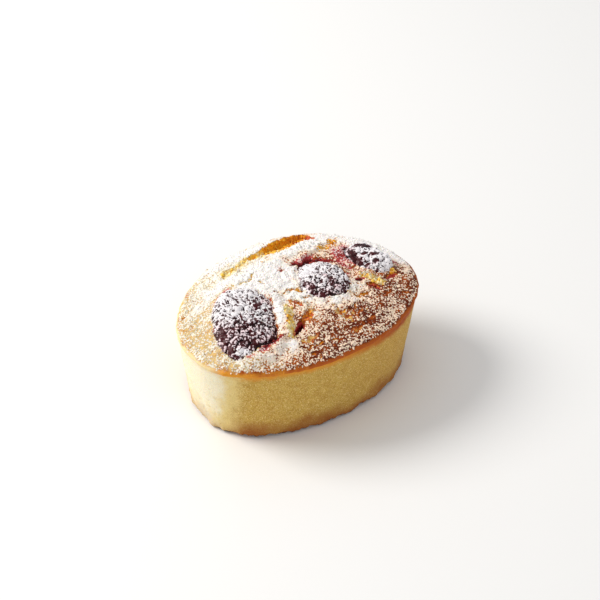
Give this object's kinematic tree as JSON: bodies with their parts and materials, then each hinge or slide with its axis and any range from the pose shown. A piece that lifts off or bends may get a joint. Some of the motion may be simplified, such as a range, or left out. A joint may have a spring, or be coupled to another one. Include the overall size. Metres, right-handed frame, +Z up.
{
  "type": "oval financier cake",
  "caption": "Oval almond cake baked in a small tapered tin, with dark berries set into a cracked, sugar-dusted crust over a pale crumb side.",
  "frame": {"origin": "on the flat base, under the middle of the oval rim", "axes": "+Z up out of the crust, X along the oval's long axis with -X at the end nearest the picture's camera, Y across the oval"},
  "size_m": [0.082, 0.0614, 0.0366],
  "materials": {
    "cake": null,
    "berry": null
  },
  "bodies": {
    "root": {"cake": "cake", "berry_left": "berry", "berry_middle": "berry", "berry_back": "berry"}
  },
  "joints": []
}
